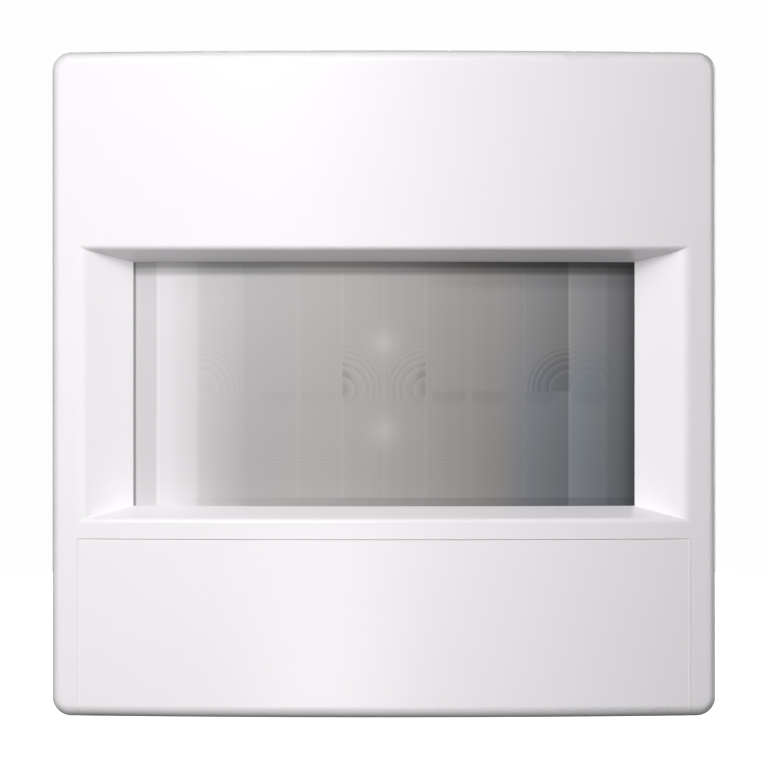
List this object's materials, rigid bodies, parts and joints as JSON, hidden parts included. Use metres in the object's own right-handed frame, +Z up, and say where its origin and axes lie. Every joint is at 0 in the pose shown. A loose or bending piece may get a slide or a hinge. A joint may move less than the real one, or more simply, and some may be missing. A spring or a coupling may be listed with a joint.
{
  "type": "motion detector",
  "caption": "Square white plug-on motion detector module with a convex front, a splayed lens window and a hinged flap over its controls.",
  "frame": {"origin": "centre of the front cover's rear rim, in the plane that seats on the wall frame", "axes": "+X to the viewer's right, +Y into the wall along the plug's direction, +Z up; the front faces -Y"},
  "size_m": [0.07, 0.039, 0.07],
  "materials": {
    "cover_white": "smooth white moulding with a soft gloss",
    "lens_milky": "milky translucent polyethylene with fine Fresnel grooves",
    "carrier_black": "black moulded plastic, fine matt texture",
    "panel_grey": "light grey moulded plastic",
    "dial_grey": "dark grey moulded plastic with a driver slot",
    "trimmer_blue": "blue moulded plastic",
    "switch_black": "black moulded plastic",
    "board_green": "green solder mask over glass fibre",
    "chip_black": "black moulding compound",
    "chip_tan": "sintered ceramic",
    "sensor_metal": "nickel plated steel",
    "filter_dark": "dark silicon filter, mirror smooth",
    "pin_brass": "gold flashed brass",
    "crystal_steel": "drawn steel can",
    "capacitor_aluminium": "bright aluminium can",
    "led_red": "tinted clear resin",
    "diode_clear": "clear resin",
    "housing_grey": "mid grey moulded plastic, fine matt texture",
    "plug_black": "black moulded plastic",
    "spring_steel": "bright spring steel strip",
    "screw_steel": "zinc plated steel"
  },
  "bodies": {
    "housing": {"front_cover": "cover_white", "fresnel_lens": "lens_milky", "lens_retainer": "carrier_black", "control_panel": "panel_grey", "sensitivity_trimmer": "trimmer_blue", "brightness_trimmer": "trimmer_blue", "time_trimmer": "trimmer_blue", "mode_switch_body": "switch_black", "control_board": "board_green", "board_header": "chip_black", "board_header_pins": "pin_brass", "left_pir_sensor": "sensor_metal", "left_pir_filter": "filter_dark", "right_pir_sensor": "sensor_metal", "right_pir_filter": "filter_dark", "sensor_leads": "pin_brass", "sensor_holder": "carrier_black", "status_led": "led_red", "light_sensor": "diode_clear", "main_circuit_board": "board_green", "microcontroller": "chip_black", "voltage_regulator": "chip_black", "quartz_crystal": "crystal_steel", "signal_amplifier": "chip_black", "filter_capacitor": "capacitor_aluminium", "chip_components": "chip_tan", "rear_housing": "housing_grey", "plug_block": "plug_black", "contact_pins": "pin_brass", "left_retaining_spring": "spring_steel", "right_retaining_spring": "spring_steel", "housing_screws": "screw_steel", "board_screws": "screw_steel"},
    "flap": {"control_flap": "cover_white"},
    "left_blind": {"left_shutter": "carrier_black"},
    "right_blind": {"right_shutter": "carrier_black"},
    "mode_slider": {"mode_switch_knob": "dial_grey"},
    "sensitivity_knob": {"sensitivity_dial": "dial_grey"},
    "brightness_knob": {"brightness_dial": "dial_grey"},
    "time_knob": {"time_dial": "dial_grey"}
  },
  "joints": [
    {"name": "flap_hinge", "type": "hinge", "parent": "housing", "child": "flap", "pos_m": [0, -0.005, -0.0332], "axis": [1, 0, 0], "range_deg": [0, 95]},
    {"name": "left_shutter_swing", "type": "hinge", "parent": "housing", "child": "left_blind", "pos_m": [-0.007, 0, 0], "axis": [0, 0, 1], "range_deg": [0, 45]},
    {"name": "right_shutter_swing", "type": "hinge", "parent": "housing", "child": "right_blind", "pos_m": [0.007, 0, 0], "axis": [0, 0, -1], "range_deg": [0, 45]},
    {"name": "mode_switch_slide", "type": "slide", "parent": "housing", "child": "mode_slider", "axis": [1, 0, 0], "range_m": [-0.0025, 0.0025]},
    {"name": "sensitivity_dial_turn", "type": "hinge", "parent": "housing", "child": "sensitivity_knob", "pos_m": [-0.01835, -0.01, -0.02548], "axis": [0, 1, 0], "range_deg": [-135, 135]},
    {"name": "brightness_dial_turn", "type": "hinge", "parent": "housing", "child": "brightness_knob", "pos_m": [-0.00885, -0.01, -0.02548], "axis": [0, 1, 0], "range_deg": [-135, 135]},
    {"name": "time_dial_turn", "type": "hinge", "parent": "housing", "child": "time_knob", "pos_m": [0.00065, -0.01, -0.02548], "axis": [0, 1, 0], "range_deg": [-135, 135]}
  ]
}
